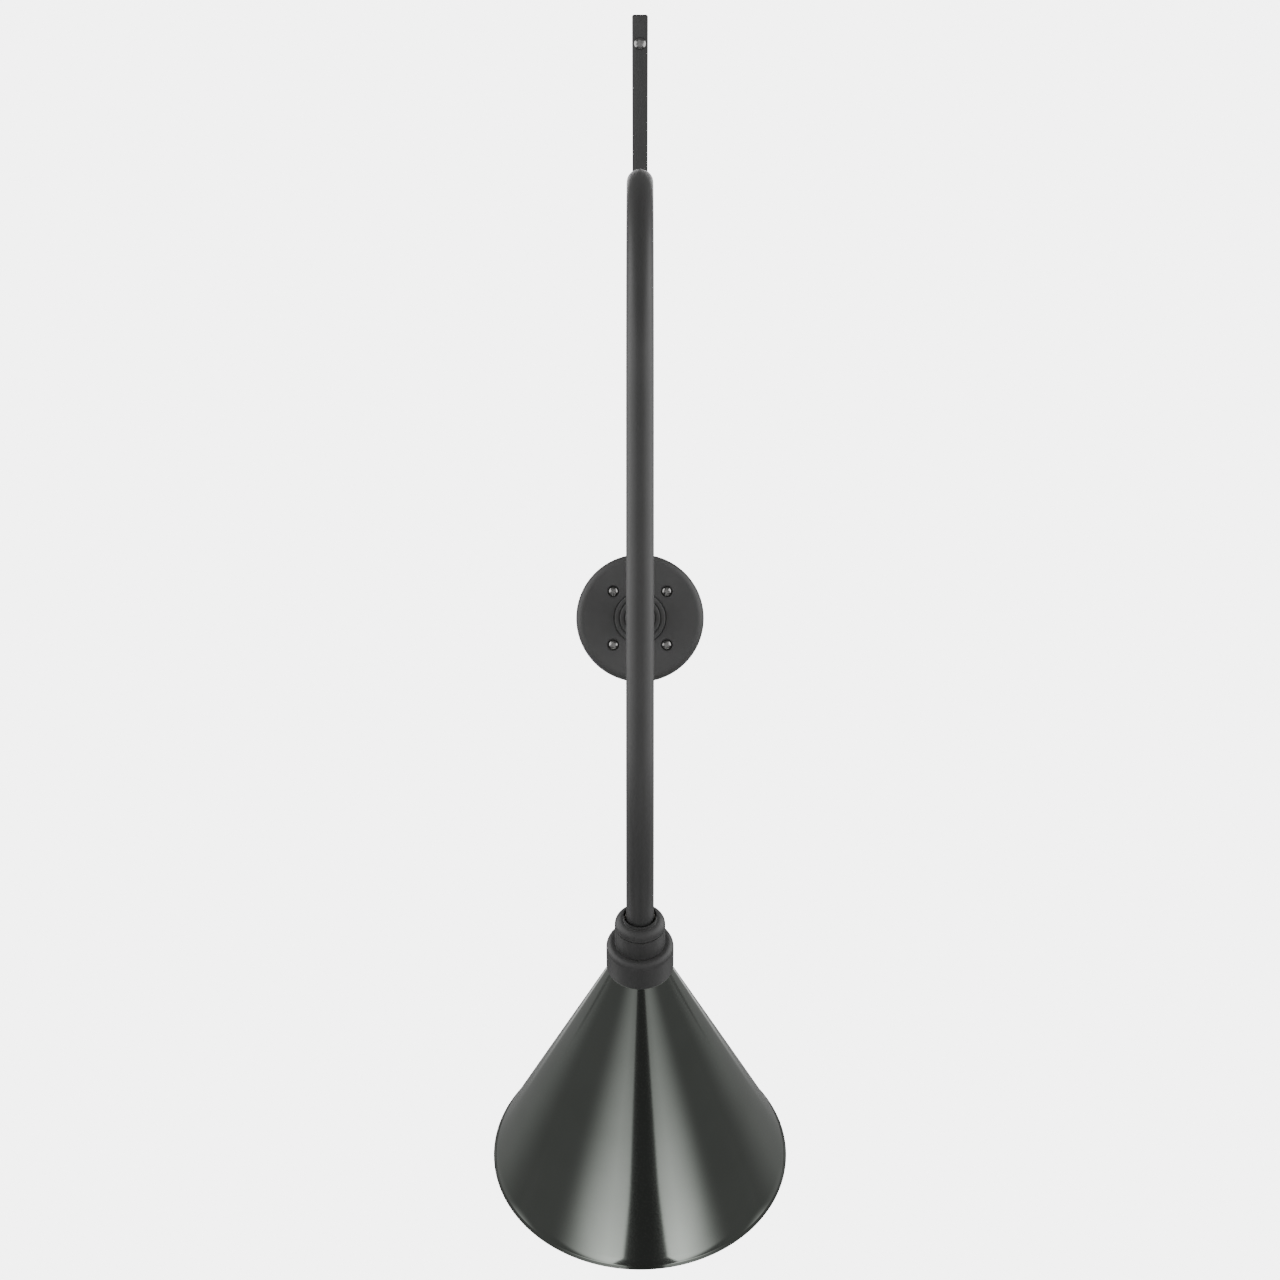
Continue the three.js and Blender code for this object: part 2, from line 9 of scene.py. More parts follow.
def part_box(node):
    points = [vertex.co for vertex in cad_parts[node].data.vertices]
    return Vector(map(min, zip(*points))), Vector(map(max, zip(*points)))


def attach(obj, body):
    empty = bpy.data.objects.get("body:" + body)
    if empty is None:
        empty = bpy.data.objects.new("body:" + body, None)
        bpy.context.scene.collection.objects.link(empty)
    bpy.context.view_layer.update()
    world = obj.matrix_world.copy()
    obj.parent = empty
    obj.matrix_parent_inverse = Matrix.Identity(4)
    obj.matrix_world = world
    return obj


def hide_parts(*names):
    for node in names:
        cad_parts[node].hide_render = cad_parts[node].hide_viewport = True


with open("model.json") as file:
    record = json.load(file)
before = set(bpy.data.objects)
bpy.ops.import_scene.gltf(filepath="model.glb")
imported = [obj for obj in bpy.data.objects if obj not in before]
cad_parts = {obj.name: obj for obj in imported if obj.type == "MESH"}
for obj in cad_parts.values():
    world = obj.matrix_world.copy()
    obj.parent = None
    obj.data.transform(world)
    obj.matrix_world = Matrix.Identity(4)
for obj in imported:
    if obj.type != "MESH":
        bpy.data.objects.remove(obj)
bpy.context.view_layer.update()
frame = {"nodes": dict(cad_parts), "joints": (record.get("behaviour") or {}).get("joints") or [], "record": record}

MM = 0.001

# ---------- places and sizes, from the frame ----------
plate_low, plate_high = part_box("wall_plate")
PLATE_R = (plate_high.x - plate_low.x) / 2
PLATE_DEPTH = 17 * MM
RING_RADII = (25.5 * MM, 20.3 * MM, 15.2 * MM)
RING_STEP = 2 * MM
SCREW_HOLE_R = 2.8 * MM
LEAD_HOLE_R = 4.2 * MM
rail_low, rail_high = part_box("rail")
RAIL_HALF = (rail_high.x - rail_low.x) / 2
spacer_low, spacer_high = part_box("rail_spacer")
screw_low, screw_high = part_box("rail_screw")
RAIL_SCREW_Z = (screw_low.z + screw_high.z) / 2
tube_low, tube_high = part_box("arm_tube")
TUBE_R = (tube_high.x - tube_low.x) / 2
mast_low, mast_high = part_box("mast")
SWING_Y = (mast_low.y + mast_high.y) / 2
LEG_Y = tube_low.y + TUBE_R
BEND_R = (SWING_Y - LEG_Y) / 2
CROWN_Z = tube_high.z - TUBE_R - BEND_R
TUBE_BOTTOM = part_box("thrust_washer")[1].z + 0.3 * MM
swivel = next(joint for joint in frame["joints"] if joint["name"] == "swivel_tilt")
BALL = Vector(swivel["pos_m"])
HEAD_TILT = math.radians(45)
HEAD_AXIS = Vector((0, math.sin(HEAD_TILT), -math.cos(HEAD_TILT)))
BALL_AT = 15 * MM
TUBE_END = 11.3 * MM
HEAD_ORIGIN = BALL - HEAD_AXIS * BALL_AT
LEG_BOTTOM = HEAD_ORIGIN.z + BEND_R * math.sin(HEAD_TILT)

# Wall places: +Z of a piece runs out of the wall, +Y up. Head places: +Z runs down the head's axis.
WALL = Matrix.Rotation(math.pi / 2, 4, "X")
HEAD = Matrix.Translation(HEAD_ORIGIN) @ Matrix.Rotation(HEAD_TILT - math.pi, 4, "X")


def placed(name, data):
    """A new object in the scene."""
    thing = bpy.data.objects.new(name, data)
    bpy.context.scene.collection.objects.link(thing)
    return thing


# ---------- node helpers ----------
class Nodes:
    """A small writer for one node tree."""

    def __init__(self, tree):
        self.tree = tree
        tree.nodes.clear()

    def add(self, kind, inputs=None, **settings):
        node = self.tree.nodes.new(kind)
        for key, value in settings.items():
            setattr(node, key, value)
        for key, value in (inputs or {}).items():
            self.plug(node.inputs[key], value)
        return node

    def plug(self, socket, value):
        if isinstance(value, bpy.types.NodeSocket):
            self.tree.links.new(value, socket)
        elif isinstance(value, bpy.types.Node):
            self.tree.links.new(value.outputs[0], socket)
        else:
            socket.default_value = value

    def math(self, operation, *values):
        node = self.add("ShaderNodeMath", operation=operation)
        for socket, value in zip(node.inputs, values):
            self.plug(socket, value)
        return node.outputs[0]

    def ramp(self, value, low, high, to_low=0.0, to_high=1.0, smooth=True):
        kind = "SMOOTHSTEP" if smooth else "LINEAR"
        node = self.add("ShaderNodeMapRange", interpolation_type=kind)
        for socket, entry in zip(node.inputs, (value, low, high, to_low, to_high)):
            self.plug(socket, entry)
        return node.outputs[0]


def new_material(name):
    material = bpy.data.materials.new(name)
    material.use_nodes = True
    return material, Nodes(material.node_tree)


def metal_like(name, base, dark, metallic, rough, rough_spread, grain, bump, coat=0.0,
               stretch=(1, 1, 1)):
    """A painted or plated surface: fine grain in its bump, slow drift in its colour and gloss."""
    material, n = new_material(name)
    where = n.add("ShaderNodeTexCoord").outputs["Object"]
    stretched = n.add("ShaderNodeMapping", {"Vector": where, "Scale": stretch})
    drift = n.add("ShaderNodeTexNoise", {"Vector": where, "Scale": 14.0, "Detail": 3.0})
    fine = n.add("ShaderNodeTexNoise", {"Vector": stretched, "Scale": grain, "Detail": 4.0, "Roughness": 0.6})
    blend = n.ramp(drift.outputs[0], 0.3, 0.7)
    colour = n.add("ShaderNodeMix", {"Factor": blend, "A": (*dark, 1), "B": (*base, 1)}, data_type="RGBA")
    gloss = n.ramp(fine.outputs[0], 0.3, 0.7, rough - rough_spread, rough + rough_spread)
    relief = n.add("ShaderNodeBump", {"Strength": bump, "Distance": 0.0002, "Height": fine.outputs[0]})
    shader = n.add("ShaderNodeBsdfPrincipled", {
        "Base Color": colour.outputs[2], "Metallic": metallic, "Roughness": gloss, "Normal": relief,
        "Coat Weight": coat, "Coat Roughness": 0.06,
    })
    n.add("ShaderNodeOutputMaterial", {"Surface": shader})
    return material


def opal_glass():
    """Milk glass: light passes into it, its skin is glossy."""
    material, n = new_material("opal_glass")
    where = n.add("ShaderNodeTexCoord").outputs["Object"]
    cloud = n.add("ShaderNodeTexNoise", {"Vector": where, "Scale": 30.0, "Detail": 2.0})
    tint = n.add("ShaderNodeMix", {
        "Factor": cloud.outputs[0], "A": (0.88, 0.87, 0.83, 1), "B": (0.95, 0.94, 0.91, 1),
    }, data_type="RGBA")
    shader = n.add("ShaderNodeBsdfPrincipled", {
        "Base Color": tint.outputs[2], "Roughness": n.ramp(cloud.outputs[0], 0.2, 0.8, 0.16, 0.26),
        "Subsurface Weight": 0.3, "Subsurface Radius": (0.01, 0.01, 0.01), "Coat Weight": 0.5,
    })
    n.add("ShaderNodeOutputMaterial", {"Surface": shader})
    return material


def grey(level):
    return (level, level, level)


# Per finish: colour, darker colour, metallic, roughness and its spread, grain scale, bump.
FINISHES = {
    "black_coat": metal_like("black_coat", grey(0.048), grey(0.041), 0.0, 0.46, 0.03, 3200, 0.03),
    # A paler, rougher copy of the black coat, which the plate wears so that it shows lighter than the tube.
    "paler_coat": metal_like("paler_coat", grey(0.060), grey(0.052), 0.0, 0.50, 0.04, 2600, 0.05),
    "gunmetal": metal_like("gunmetal", (0.42, 0.45, 0.415), (0.39, 0.42, 0.385), 1.0, 0.12, 0.02, 900, 0.02),
    "gunmetal_inside": metal_like(
        "gunmetal_inside", (0.70, 0.70, 0.67), (0.64, 0.64, 0.61), 0.0, 0.45, 0.06, 1800, 0.2),
    "dark_steel": metal_like("dark_steel", grey(0.040), grey(0.028), 0.3, 0.5, 0.08, 1500, 0.2),
    "steel": metal_like(
        "steel", (0.34, 0.335, 0.33), (0.26, 0.255, 0.25), 1.0, 0.20, 0.05, 1400, 0.10, stretch=(1, 6, 1)),
    "earth_green": metal_like(
        "earth_green", (0.03, 0.16, 0.05), (0.02, 0.11, 0.04), 0.7, 0.35, 0.06, 1500, 0.2),
    "brass": metal_like(
        "brass", (0.72, 0.53, 0.24), (0.60, 0.42, 0.17), 1.0, 0.28, 0.07, 1200, 0.2, stretch=(1, 1, 6)),
    "nylon": metal_like("nylon", (0.76, 0.73, 0.66), (0.70, 0.67, 0.60), 0.0, 0.48, 0.05, 1500, 0.15),
    "phenolic": metal_like(
        "phenolic", (0.020, 0.017, 0.015), (0.012, 0.010, 0.009), 0.0, 0.30, 0.06, 700, 0.1, coat=0.3),
    "lead_sheath": metal_like("lead_sheath", grey(0.020), grey(0.012), 0.0, 0.55, 0.06, 1800, 0.3),
    "opal_glass": opal_glass(),
}


# ---------- mesh helpers ----------
def finish_piece(name, mesh, body, nodes, slot, smooth_angle=35):
    """Links a mesh as a piece on a CAD body, standing for the given CAD nodes."""
    mesh.shade_smooth()
    mesh.set_sharp_from_angle(angle=math.radians(smooth_angle))
    piece = placed(name, mesh)
    mesh.materials.append(FINISHES[slot])
    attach(piece, body)
    if nodes:
        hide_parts(*nodes)
    return piece


def rounded(corners, steps=5):
    """Turns [radius, height, fillet] corners into a profile with an arc at each filleted corner."""
    points = []
    count = len(corners)
    for i, (radius, height, fillet) in enumerate(corners):
        here = Vector((radius, height))
        if not fillet:
            points.append(here)
            continue
        before = (Vector(corners[i - 1][:2]) - here).normalized()
        after = (Vector(corners[(i + 1) % count][:2]) - here).normalized()
        half = before.angle(after) / 2
        reach = fillet / math.tan(half)
        centre = here + (before + after).normalized() * (fillet / math.sin(half))
        start = here + before * reach - centre
        end = here + after * reach - centre
        sweep = start.angle(end)
        for k in range(steps + 1):
            a, b = math.sin(sweep * (1 - k / steps)), math.sin(sweep * k / steps)
            points.append(centre + (start * a + end * b) / math.sin(sweep))
    return points


def arc(centre_r, centre_h, radius, start, end, steps):
    """Points on an arc in [radius, height] terms, angles in degrees from the +radius direction."""
    turns = (math.radians(start + (end - start) * k / steps) for k in range(steps + 1))
    return [Vector((centre_r + radius * math.cos(t), centre_h + radius * math.sin(t))) for t in turns]


def closed_mesh(name, form):
    """The finished mesh of a bmesh, its faces turned outwards."""
    bmesh.ops.recalc_face_normals(form, faces=form.faces)
    mesh = bpy.data.meshes.new(name)
    form.to_mesh(mesh)
    form.free()
    return mesh


def turned_mesh(name, profile, place, segments=128):
    """A turned solid on the +Z axis. Its profile starts and ends on the axis, or closes on itself."""
    points = [Vector(p) for p in profile]
    closed = points[0].x > 1e-6
    form = bmesh.new()
    rings = []
    for point in points:
        if point.x < 1e-6:
            rings.append([form.verts.new((0, 0, point.y))])
            continue
        turns = (2 * math.pi * k / segments for k in range(segments))
        around = [(point.x * math.cos(t), point.x * math.sin(t), point.y) for t in turns]
        rings.append([form.verts.new(spot) for spot in around])
    pairs = list(zip(rings, rings[1:]))
    if closed:
        pairs.append((rings[-1], rings[0]))
    for one, two in pairs:
        for k in range(segments):
            after = (k + 1) % segments
            here = [one[k % len(one)], one[after % len(one)]]
            there = [two[after % len(two)], two[k % len(two)]]
            face = list(dict.fromkeys(here + there))
            if len(face) > 2:
                form.faces.new(face)
    mesh = closed_mesh(name, form)
    mesh.transform(place)
    return mesh


def turned(name, profile, place, body, nodes, slot, segments=128, smooth_angle=35):
    return finish_piece(name, turned_mesh(name, profile, place, segments), body, nodes, slot, smooth_angle)


def slab_mesh(name, outline, low, high):
    """A flat plate from an outline of (x, y) points, between two heights."""
    form = bmesh.new()
    bottom = [form.verts.new((x, y, low)) for x, y in outline]
    top = [form.verts.new((x, y, high)) for x, y in outline]
    form.faces.new(bottom)
    form.faces.new(top)
    for k in range(len(outline)):
        after = (k + 1) % len(outline)
        form.faces.new((bottom[k], bottom[after], top[after], top[k]))
    return closed_mesh(name, form)


def combined(mesh, others, operation="DIFFERENCE", edge=0.0, edge_steps=3):
    """The mesh with the others taken out of it or joined to it, and its sharp edges rounded."""
    base = placed("combined", mesh)
    helpers = [base]
    for other in others:
        helpers.append(placed("other", other))
        step = base.modifiers.new("step", "BOOLEAN")
        step.operation = operation
        step.solver = "EXACT"
        step.object = helpers[-1]
    if edge:
        bevel = base.modifiers.new("edge", "BEVEL")
        bevel.width = edge
        bevel.segments = edge_steps
        bevel.limit_method = "ANGLE"
        bevel.angle_limit = math.radians(40)
        bevel.harden_normals = False
    bpy.context.view_layer.update()
    shown = base.evaluated_get(bpy.context.evaluated_depsgraph_get())
    result = bpy.data.meshes.new_from_object(shown)
    result.name = mesh.name
    for helper in helpers:
        bpy.data.objects.remove(helper)
    return result


# ---------- wall side ----------
def screw_places():
    heads = [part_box(f"plate_screw_{k}") for k in range(1, 5)]
    return [((low.x + high.x) / 2, (low.z + high.z) / 2) for low, high in heads]


def cylinder_cutter(radius, low, high, place, segments=48):
    return turned_mesh("cutter", [(0, low), (radius, low), (radius, high), (0, high)], place, segments)


def wall_plate():
    """A cast shell with stepped rings, four counterbores and a notch at its back for the rail."""
    inside, face_inside, stem_hole = PLATE_R - 3 * MM, 13 * MM, 8.3 * MM
    groove, groove_depth, ease = 0.5 * MM, 0.8 * MM, 0.2 * MM
    corners = [(inside, 0, 0.3 * MM), (PLATE_R, 0, 0.6 * MM), (PLATE_R, PLATE_DEPTH, 7 * MM)]
    height = PLATE_DEPTH
    for radius in RING_RADII:
        corners.append((radius + groove + ease, height, ease))
        corners.append((radius + groove, height - groove_depth, ease))
        corners.append((radius - groove, height - groove_depth, ease))
        height += RING_STEP
        corners.append((radius - groove - 0.1 * MM, height, 0.7 * MM))
    corners += [(stem_hole, height, 0.4 * MM), (stem_hole, face_inside, 0), (inside, face_inside, 4 * MM)]
    body = turned_mesh("wall_plate", rounded(corners), Matrix.Identity(4), 160)
    cutters = []
    below, seat, edge, clear = 12 * MM, 14.6 * MM, PLATE_DEPTH - 0.5 * MM, PLATE_DEPTH + MM
    sink_r, mouth_r = 5.9 * MM, 6.5 * MM
    for x, z in screw_places():
        cutters.append(turned_mesh("cutter", [
            (0, below), (SCREW_HOLE_R, below), (SCREW_HOLE_R, seat), (sink_r, seat), (sink_r, edge),
            (mouth_r, edge + mouth_r - sink_r), (mouth_r, clear), (0, clear),
        ], Matrix.Translation((x, z, 0)), 48))
    half, foot, top = RAIL_HALF + 0.8 * MM, PLATE_R - 9 * MM, PLATE_R + 5 * MM
    notch = [(-half, foot), (half, foot), (half, top), (-half, top)]
    cutters.append(slab_mesh("cutter", notch, -1 * MM, 8.6 * MM))
    mesh = combined(body, cutters)
    mesh.transform(WALL)
    plate = finish_piece("plate_shell", mesh, "wall", ["wall_plate"], "black_coat")
    # The plate takes the paler, rougher copy of the black coat, so that it shows lighter than the tube.
    plate.data.materials[0] = FINISHES["paler_coat"]


def screw_mesh(name, head_r, head_h, shank_r, tip, seat, turn=0.0):
    """A domed screw head with a cross recess, on the +Z axis."""
    ease = 0.2 * MM
    dome = [(0, tip), (shank_r, tip), (shank_r, seat), (head_r - ease, seat), (head_r, seat + ease)]
    for k in range(1, 9):
        angle = math.radians(90 * k / 8)
        dome.append((head_r * math.cos(angle), seat + ease + (head_h - ease) * math.sin(angle)))
    dome[-1] = (0, seat + head_h)
    body = turned_mesh(name, dome, Matrix.Identity(4), 64)
    half, width = head_r * 0.62, head_r * 0.13
    slot = [(-half, -width), (half, -width), (half, width), (-half, width)]
    cutters = []
    for quarter in range(2):
        cutter = slab_mesh("cutter", slot, seat + head_h * 0.25, seat + head_h + MM)
        cutter.transform(Matrix.Rotation(turn + quarter * math.pi / 2, 4, "Z"))
        cutters.append(cutter)
    return combined(body, cutters, edge=0.08 * MM, edge_steps=2)


def screws():
    """The plate's four screws, each turned to its own angle, and the rail's top screw."""
    shank_r, head_h, plate_seat = 2.4 * MM, 2.6 * MM, 14.9 * MM
    for k, (x, z) in enumerate(screw_places(), 1):
        low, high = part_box(f"plate_screw_{k}")
        head_r = (high.x - low.x) / 2
        mesh = screw_mesh("plate_screw", head_r, head_h, shank_r, -high.y, plate_seat, 0.7 * k)
        mesh.transform(WALL @ Matrix.Translation((x, z, 0)))
        finish_piece(f"plate_screw_head_{k}", mesh, "wall", [f"plate_screw_{k}"], "steel")
    head_r = (screw_high.x - screw_low.x) / 2
    seat = -rail_low.y + 0.3 * MM
    mesh = screw_mesh("rail_screw", head_r, -screw_low.y - seat, shank_r, 0, seat, 0.3)
    mesh.transform(WALL @ Matrix.Translation((0, RAIL_SCREW_Z, 0)))
    finish_piece("rail_screw_head", mesh, "wall", ["rail_screw"], "steel")


def rail():
    """The bar, a little wider towards its top, on a round stand-off behind its top screw."""
    half, flare, chamfer = 7.6 * MM, 450 * MM, 1.5 * MM
    low, high = rail_low.z, rail_high.z
    right = [(half, low), (half, flare), (RAIL_HALF, high - chamfer), (RAIL_HALF - chamfer, high)]
    outline = right + [(-x, y) for x, y in reversed(right)]
    bar = slab_mesh("rail", outline, -rail_high.y, -rail_low.y)
    screw_place = Matrix.Translation((0, RAIL_SCREW_Z, 0))
    hole = cylinder_cutter(SCREW_HOLE_R, -MM, 12 * MM, screw_place)
    mesh = combined(bar, [hole], edge=0.5 * MM)
    mesh.transform(WALL)
    finish_piece("rail_bar", mesh, "wall", ["rail"], "black_coat")
    outer, depth = (spacer_high.x - spacer_low.x) / 2, -spacer_low.y
    turned("rail_standoff", rounded([
        (SCREW_HOLE_R, 0, 0), (outer, 0, 0.3 * MM), (outer, depth, 0.3 * MM), (SCREW_HOLE_R, depth, 0),
    ]), WALL @ screw_place, "wall", ["rail_spacer"], "black_coat", 64)


def stem_elbow():
    """A stem out of the wall, cast with an upright barrel that is bored for the mast and the lead."""
    low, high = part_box("stem_elbow")
    stem_r, shank_r, shank_at, barrel_r = 11 * MM, 8 * MM, 4.5 * MM, (high.x - low.x) / 2
    hub = PLATE_DEPTH + 3 * RING_STEP + 0.3 * MM
    reach = -SWING_Y
    stem = turned_mesh("stem", rounded([
        (0, shank_at, 0), (shank_r, shank_at, 0.5 * MM), (shank_r, hub, 0), (stem_r, hub, 0.6 * MM),
        (stem_r, reach, 0), (0, reach, 0),
    ]), WALL, 96)
    post = Matrix.Translation((0, SWING_Y, 0))
    barrel = turned_mesh("barrel", rounded([
        (0, low.z, 0), (barrel_r, low.z, 4 * MM), (barrel_r, high.z, 0.5 * MM), (0, high.z, 0),
    ], 8), post, 96)
    joined = combined(stem, [barrel], "UNION")
    socket = cylinder_cutter(8.3 * MM, 5 * MM, high.z + MM, post)
    well = cylinder_cutter(LEAD_HOLE_R, -LEAD_HOLE_R, 6 * MM, post)
    across = cylinder_cutter(LEAD_HOLE_R, 3 * MM, reach, WALL)
    mesh = combined(joined, [socket, well, across])
    finish_piece("stem_casting", mesh, "wall", ["stem_elbow"], "black_coat")


# ---------- arm ----------
def arm_stations():
    """(point, heading) along the tube's centre line, heading in radians with +Y right and +Z up."""
    up = math.pi / 2
    stations = [(Vector((0, SWING_Y, TUBE_BOTTOM)), up)]
    crown = (SWING_Y, CROWN_Z, up, math.pi, 72)
    last_bend = (LEG_Y, LEG_BOTTOM, up + math.pi, HEAD_TILT, 24)
    for y, z, heading, turn, steps in (crown, last_bend):
        centre = Vector((0, y - BEND_R * math.sin(heading), z + BEND_R * math.cos(heading)))
        for k in range(steps + 1):
            now = heading + turn * k / steps
            spoke = Vector((0, math.sin(now), -math.cos(now))) * BEND_R
            stations.append((centre + spoke, now))
    last, heading = stations[-1]
    ahead = Vector((0, math.cos(heading), math.sin(heading)))
    stations.append((last + ahead * TUBE_END, heading))
    return stations


def swept_mesh(name, stations, outer, inner, lip, segments=72):
    """A tube along stations, with its two ends rounded over by the lip."""
    rings = []

    def ring(station, radius, shift=0.0):
        point, heading = station
        ahead = Vector((0, math.cos(heading), math.sin(heading)))
        side = Vector((1, 0, 0))
        over = side.cross(ahead)
        centre = point + ahead * shift
        turns = (2 * math.pi * k / segments for k in range(segments))
        return [form.verts.new(centre + (side * math.cos(t) + over * math.sin(t)) * radius) for t in turns]

    form = bmesh.new()
    first, last = stations[0], stations[-1]
    rings.append(ring(first, outer - lip))
    rings.append(ring(first, outer, lip))
    rings += [ring(station, outer) for station in stations[1:-1]]
    rings.append(ring(last, outer, -lip))
    rings.append(ring(last, outer - lip))
    rings.append(ring(last, inner))
    rings += [ring(station, inner) for station in reversed(stations[1:-1])]
    rings.append(ring(first, inner))
    for one, two in zip(rings, rings[1:] + rings[:1]):
        for k in range(segments):
            after = (k + 1) % segments
            form.faces.new((one[k], one[after], two[after], two[k]))
    return closed_mesh(name, form)


def arm():
    """The gooseneck tube, the screw that holds it on the mast, and the ball on its lower end."""
    tube = swept_mesh("arm_tube", arm_stations(), TUBE_R, TUBE_R - 2 * MM, 0.4 * MM)
    finish_piece("arm_gooseneck", tube, "arm", ["arm_tube"], "black_coat")
    low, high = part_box("retaining_screw")
    spot = Matrix.Translation((0, SWING_Y, (low.z + high.z) / 2)) @ Matrix.Rotation(-math.pi / 2, 4, "X")
    tip, seat, top = low.y - SWING_Y, TUBE_R + 0.3 * MM, high.y - SWING_Y
    mesh = screw_mesh("retaining_screw", 4 * MM, top - seat, 2 * MM, tip, seat)
    mesh.transform(spot)
    finish_piece("retaining_screw_head", mesh, "arm", ["retaining_screw"], "dark_steel")
    bore, socket_r, ball_r = 7 * MM, TUBE_R + 0.3 * MM, 15.7 * MM
    socket_end = TUBE_END + 0.3 * MM
    start = -math.degrees(math.acos(socket_r / ball_r))
    end = math.degrees(math.acos(bore / ball_r))
    profile = [(bore, socket_end), (socket_r, socket_end)] + arc(0, BALL_AT, ball_r, start, end, 40)
    turned("swivel_ball_turned", profile, HEAD, "arm", ["swivel_ball"], "dark_steel", 96)


# ---------- head ----------
LIP_AT, CAP_END, NECK_AT, CUP_AT, CUP_END = 0.5 * MM, 13 * MM, 13.8 * MM, 37 * MM, 69 * MM
NECK_R, CUP_R = 23 * MM, 30.7 * MM
CAP_SEAT_R = 17.3 * MM
NECK_BORE_R = 19.5 * MM
NIPPLE_HOLE_R = 5.3 * MM
THREAD_PITCH = 3.1 * MM
SHADE_TOP, SHADE_END = 57.9 * MM, 342 * MM
SHADE_R_AT_CUP, SHADE_RIM_R = 26.3 * MM, 139.5 * MM
SHADE_TAPER = (SHADE_RIM_R - SHADE_R_AT_CUP) / (SHADE_END - CUP_END)


def swivel_cap():
    """The dome over the ball: a thin lip at its hole, a round shoulder, a spigot into the neck."""
    lip_r, hole_r, spigot_r, spigot_end = 15.15 * MM, 14.35 * MM, 20.9 * MM, CAP_END + 7 * MM
    edge = CAP_END - 0.3 * MM
    shoulder = NECK_R - lip_r
    lip = rounded([
        (hole_r, CAP_END, 0), (hole_r, LIP_AT + 1.2 * MM, 0.2 * MM), (lip_r - 0.1 * MM, LIP_AT, 0.08 * MM),
        (lip_r, LIP_AT + 0.3 * MM, 0.1 * MM), (lip_r, CAP_END, 0),
    ])[1:-1]
    foot = [(lip_r, CAP_END - shoulder - 0.3 * MM)]
    dome = arc(lip_r, CAP_END, shoulder, -88, -2, 24) + [(NECK_R - 0.2 * MM, edge)]
    spigot = [(spigot_r, edge), (spigot_r, spigot_end), (CAP_SEAT_R, spigot_end)]
    hole_angle = -math.degrees(math.acos(hole_r / CAP_SEAT_R))
    profile = lip + foot + dome + spigot + arc(0, BALL_AT, CAP_SEAT_R, 0, hole_angle, 16)
    turned("swivel_dome", profile, HEAD, "head", ["swivel_cap"], "black_coat", smooth_angle=40)


def socket_neck():
    """A sleeve with a floor across it, counterbored for the dome's spigot."""
    counterbore = 21.2 * MM
    top, step, end = NECK_AT + 0.3 * MM, 21 * MM, 36.7 * MM
    floor_top, floor_end = 30 * MM, 33.5 * MM
    turned("neck_sleeve", rounded([
        (counterbore, top, 0.2 * MM), (NECK_R, top, 0.2 * MM), (NECK_R, end, 0.3 * MM),
        (NECK_BORE_R, end, 0.2 * MM), (NECK_BORE_R, floor_end, 0.4 * MM), (NIPPLE_HOLE_R, floor_end, 0.2 * MM),
        (NIPPLE_HOLE_R, floor_top, 0.2 * MM), (NECK_BORE_R, floor_top, 0.4 * MM), (NECK_BORE_R, step, 0.2 * MM),
        (counterbore, step, 0.2 * MM),
    ]), HEAD, "head", ["socket_neck"], "black_coat")


def shade_cup():
    """The cup in its black coat, with the shade's metal finish on the rounded edge at its mouth."""
    inner, edge, floor_end = CUP_R - 2 * MM, 1.8 * MM, CUP_AT + 3 * MM
    piece = turned("cup_spinning", rounded([
        (NIPPLE_HOLE_R, CUP_AT, 0.2 * MM), (CUP_R, CUP_AT, 6 * MM), (CUP_R, CUP_END, edge),
        (inner, CUP_END, 0.1 * MM), (inner, floor_end, 4.2 * MM), (NIPPLE_HOLE_R, floor_end, 0.2 * MM),
    ], 10), HEAD, "head", ["shade_cup"], "black_coat")
    piece.data.materials.append(FINISHES["gunmetal"])
    for face in piece.data.polygons:
        place = HEAD.inverted() @ face.center
        if place.z > CUP_END - edge * 0.8 and math.hypot(place.x, place.y) > CUP_R - edge:
            face.material_index = 1


def shade():
    """The cone, with the flange it hangs by and a rolled bead at its rim."""
    wall = 1.1 * MM
    inset = wall * math.hypot(1, SHADE_TAPER)
    bead = 1.7 * MM
    bead_at, bead_r = SHADE_END - bead, SHADE_RIM_R - bead
    turn = math.degrees(math.atan(SHADE_TAPER))

    def radius(at):
        return SHADE_R_AT_CUP + (at - CUP_END) * SHADE_TAPER

    cone_end = bead_at - bead * 1.6
    flange_end = SHADE_TOP + wall
    hole, ease, top_r = 17.9 * MM, 0.4 * MM, radius(SHADE_TOP)
    outside = [(hole, SHADE_TOP), (top_r - ease, SHADE_TOP), (top_r, SHADE_TOP + ease)]
    steps = 40
    for k in range(1, steps + 1):
        at = SHADE_TOP + (cone_end - SHADE_TOP) * k / steps
        outside.append((radius(at) - 0.2 * MM * (k / steps) ** 8, at))
    neck = [(radius(bead_at - bead) - 0.5 * MM, bead_at - bead)]
    roll = arc(bead_r, bead_at, bead, -turn * 0.6, 165, 18)
    inside = []
    for k in range(steps + 1):
        at = cone_end + (flange_end + 0.5 * MM - cone_end) * k / steps
        inside.append((radius(at) - inset - 0.1 * MM, at))
    inside += [(radius(flange_end) - inset - 0.6 * MM, flange_end), (hole, flange_end)]
    profile = outside + neck + roll + inside
    piece = turned("shade_spinning", profile, HEAD, "head", ["shade"], "gunmetal", 192, 50)
    piece.data.materials.append(FINISHES["gunmetal_inside"])
    paint_inside(piece.data)


def paint_inside(mesh):
    """The shade's inner wall and flange are painted pale: their faces look towards the head's axis."""
    for face in mesh.polygons:
        from_axis = face.center - HEAD_ORIGIN
        at = from_axis.dot(HEAD_AXIS)
        outward = from_axis - HEAD_AXIS * at
        if face.normal.dot(outward) < 0 and at < SHADE_END - 5 * MM:
            face.material_index = 1


